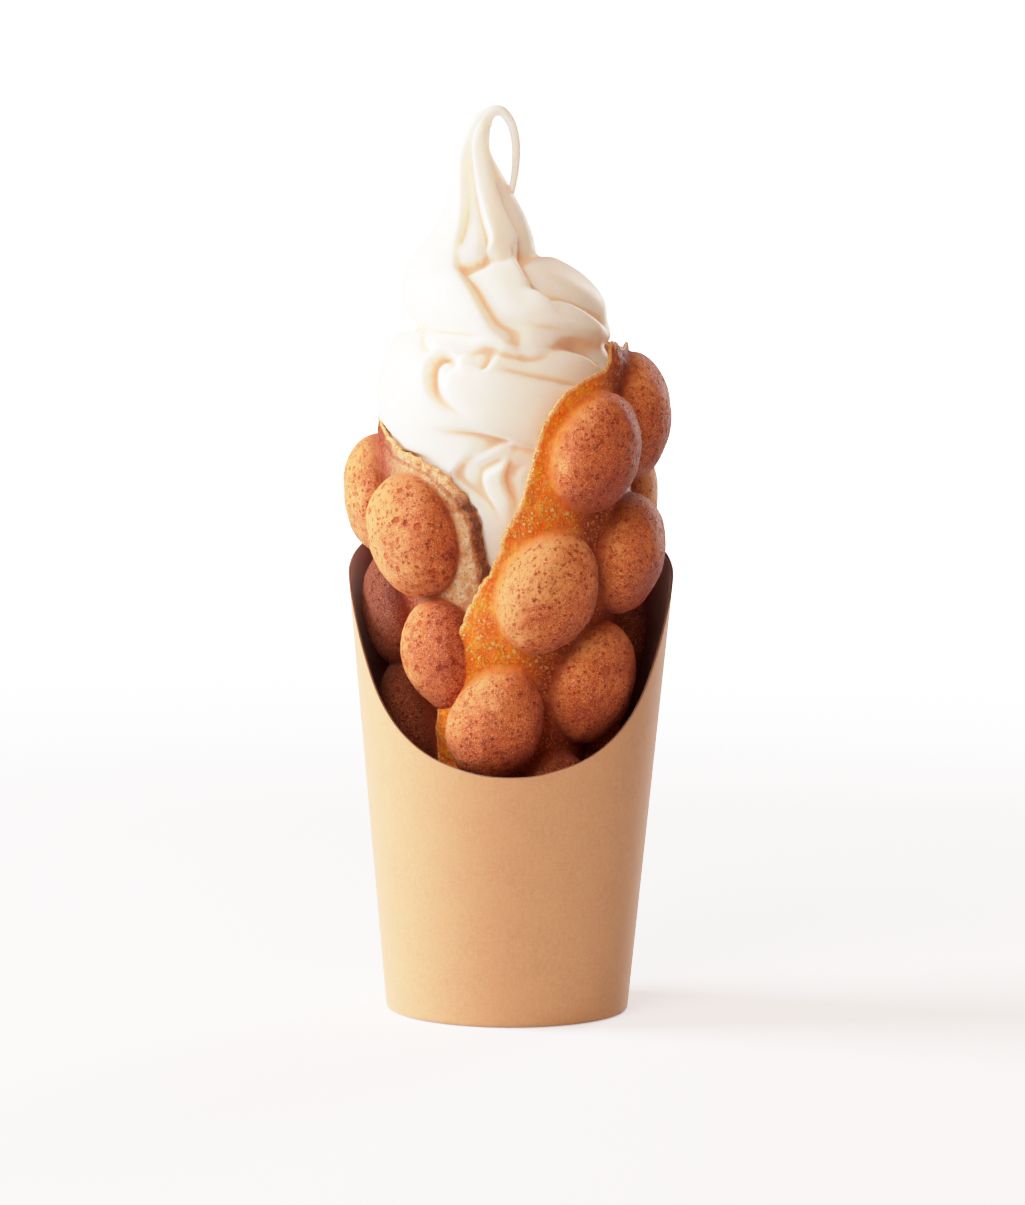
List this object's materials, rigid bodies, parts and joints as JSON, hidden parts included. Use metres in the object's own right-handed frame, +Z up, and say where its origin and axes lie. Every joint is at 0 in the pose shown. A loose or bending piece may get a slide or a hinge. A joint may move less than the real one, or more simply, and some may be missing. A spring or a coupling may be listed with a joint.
{
  "type": "bubble waffle ice cream",
  "caption": "Round bubble waffle rolled into a cone, filled with coiled vanilla soft serve drawn up to a hooked peak, standing in a tapered paper cup with a scooped front.",
  "frame": {"origin": "on the floor plane under the middle of the whole, so z = 0 is the underside of the cup's foot; the cup's own axis is 0.63 mm towards +X and 2.15 mm towards -Y of it", "axes": "+Z up along the cup, the cup's scooped low side and the waffle's open lap face -Y, +X to the right seen from that side"},
  "size_m": [0.092, 0.089, 0.2518],
  "materials": {
    "paper_cup": "matte",
    "bubble_waffle": "satin",
    "soft_serve": "satin"
  },
  "bodies": {
    "root": {"paper_cup": "paper_cup", "bubble_waffle": "bubble_waffle", "soft_serve": "soft_serve"}
  },
  "joints": []
}
